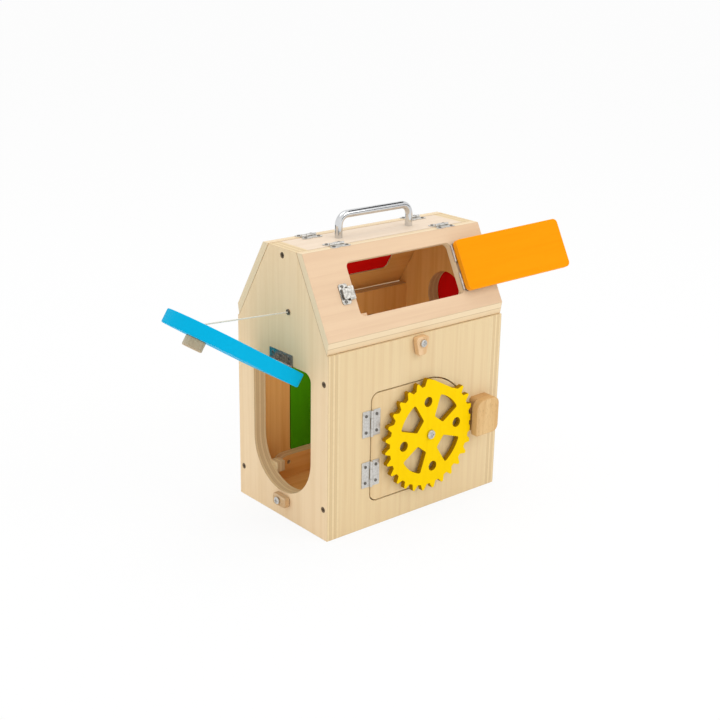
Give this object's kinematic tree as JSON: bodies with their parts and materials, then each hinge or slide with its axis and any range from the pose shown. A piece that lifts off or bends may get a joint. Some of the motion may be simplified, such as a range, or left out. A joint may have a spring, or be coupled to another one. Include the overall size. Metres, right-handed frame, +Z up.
{
  "type": "wooden busy board",
  "caption": "Gabled plywood lock box with hinged doors and roof lids, a toothed gear on one door, turn buttons, a bolt and a carry handle.",
  "frame": {"origin": "middle of the flat underside of the box", "axes": "+X to the right along the gear side, +Y to the back, +Z up"},
  "size_m": [0.4609, 0.1882, 0.3206],
  "materials": {
    "plywood": "clear matt plywood",
    "roof_ply": "clear matt thin plywood",
    "beech": "sanded beech",
    "yellow_wood": "satin yellow stain",
    "blue_wood": "satin blue paint",
    "orange_wood": "satin orange paint",
    "red_wood": "satin red paint",
    "green_wood": "satin green paint",
    "hinge_steel": "zinc plated",
    "screw_steel": "zinc plated",
    "handle_chrome": "polished",
    "cord": "twisted cotton"
  },
  "bodies": {
    "box": {"left_side_panel": "plywood", "right_side_panel": "plywood", "front_panel": "plywood", "back_panel": "plywood", "bottom_panel": "plywood", "ridge_board": "plywood", "panel_screws": "screw_steel", "carry_handle": "handle_chrome", "handle_screws": "screw_steel", "ridge_hinge_leaves": "hinge_steel", "ridge_hinge_pins": "hinge_steel", "arch_wall_leaf": "hinge_steel", "arch_hinge_pin": "hinge_steel", "box_hinge_screws": "screw_steel", "door_stop_blocks": "plywood", "pivot_screws": "screw_steel", "keeper_base": "beech", "keeper_cap": "beech", "door_frame_leaves": "hinge_steel", "door_hinge_pins": "hinge_steel", "cord_eyelet": "hinge_steel", "floor_rail": "plywood", "bolt_keep": "hinge_steel"},
    "lower_button": {"lower_turn_button": "beech"},
    "top_button": {"top_turn_button": "beech"},
    "arch_door": {"arch_door": "blue_wood", "arch_door_leaf": "hinge_steel", "arch_door_knob": "beech", "arch_door_screws": "screw_steel", "stay_cord": "cord"},
    "gear_door": {"gear_door": "plywood", "gear_door_leaves": "hinge_steel", "gear_door_screws": "screw_steel", "gear_axle_screw": "screw_steel"},
    "gear": {"gear_wheel": "yellow_wood"},
    "front_roof": {"front_roof_panel": "roof_ply", "front_roof_leaves": "hinge_steel", "front_roof_screws": "screw_steel", "lid_catch_plate": "hinge_steel", "front_lid_pins": "hinge_steel", "front_lid_stop": "plywood"},
    "front_lid": {"front_lid": "orange_wood", "front_lid_leaves": "hinge_steel", "front_lid_screws": "screw_steel", "latch_base": "hinge_steel"},
    "latch": {"latch_loop": "hinge_steel"},
    "back_roof": {"back_roof_panel": "roof_ply", "back_roof_leaves": "hinge_steel", "back_roof_screws": "screw_steel", "back_lid_pins": "hinge_steel"},
    "back_lid": {"back_lid": "red_wood", "back_lid_leaves": "hinge_steel", "back_lid_screws": "screw_steel", "back_lid_knob": "beech"},
    "green_door": {"green_door": "green_wood", "green_door_leaves": "hinge_steel", "green_door_screws": "screw_steel", "bolt_guides": "hinge_steel"},
    "bolt": {"door_bolt": "hinge_steel"},
    "round_cover": {"round_cover": "red_wood"}
  },
  "joints": [
    {"name": "lower_button_turn", "type": "hinge", "parent": "box", "child": "lower_button", "pos_m": [-0.12, -0.001, 0.0206], "axis": [-1, 0, 0], "continuous": true},
    {"name": "top_button_turn", "type": "hinge", "parent": "box", "child": "top_button", "pos_m": [-0.001, -0.0765, 0.1915], "axis": [0, -1, 0], "continuous": true},
    {"name": "arch_door_hinge", "type": "hinge", "parent": "box", "child": "arch_door", "pos_m": [-0.1216, 0, 0.1732], "axis": [0, -1, 0], "range_deg": [0, 123], "deforming": ["stay_cord"]},
    {"name": "gear_door_hinge", "type": "hinge", "parent": "box", "child": "gear_door", "pos_m": [-0.0637, -0.0781, 0.08825], "axis": [0, 0, -1], "range_deg": [0, 100]},
    {"name": "gear_turn", "type": "hinge", "parent": "gear_door", "child": "gear", "pos_m": [0.012, -0.0815, 0.08825], "axis": [0, -1, 0], "continuous": true},
    {"name": "front_roof_hinge", "type": "hinge", "parent": "box", "child": "front_roof", "pos_m": [0, -0.02484, 0.2946], "axis": [-1, 0, 0], "range_deg": [0, 110]},
    {"name": "front_lid_hinge", "type": "hinge", "parent": "front_roof", "child": "front_lid", "pos_m": [0.0708, -0.056, 0.25475], "axis": [0, -0.4686, -0.8834], "range_deg": [0, 173]},
    {"name": "latch_loop_hinge", "type": "hinge", "parent": "front_lid", "child": "latch", "pos_m": [0.20082, -0.06997, 0.25905], "axis": [0, -0.4686, -0.8834], "range_deg": [0, 160]},
    {"name": "back_roof_hinge", "type": "hinge", "parent": "box", "child": "back_roof", "pos_m": [0, 0.02091, 0.2946], "axis": [1, 0, 0], "range_deg": [0, 110]},
    {"name": "back_lid_hinge", "type": "hinge", "parent": "back_roof", "child": "back_lid", "pos_m": [-0.0708, 0.05341, 0.25838], "axis": [0, -0.523, 0.8524], "range_deg": [0, 165]},
    {"name": "green_door_hinge", "type": "hinge", "parent": "box", "child": "green_door", "pos_m": [0.0607, 0.0781, 0.10675], "axis": [0, 0, -1], "range_deg": [0, 110]},
    {"name": "bolt_slide", "type": "slide", "parent": "green_door", "child": "bolt", "axis": [-1, 0, 0], "range_m": [0, 0.012]},
    {"name": "round_cover_turn", "type": "hinge", "parent": "box", "child": "round_cover", "pos_m": [0.12, -0.0035, 0.24], "axis": [1, 0, 0], "range_deg": [0, 100]}
  ]
}
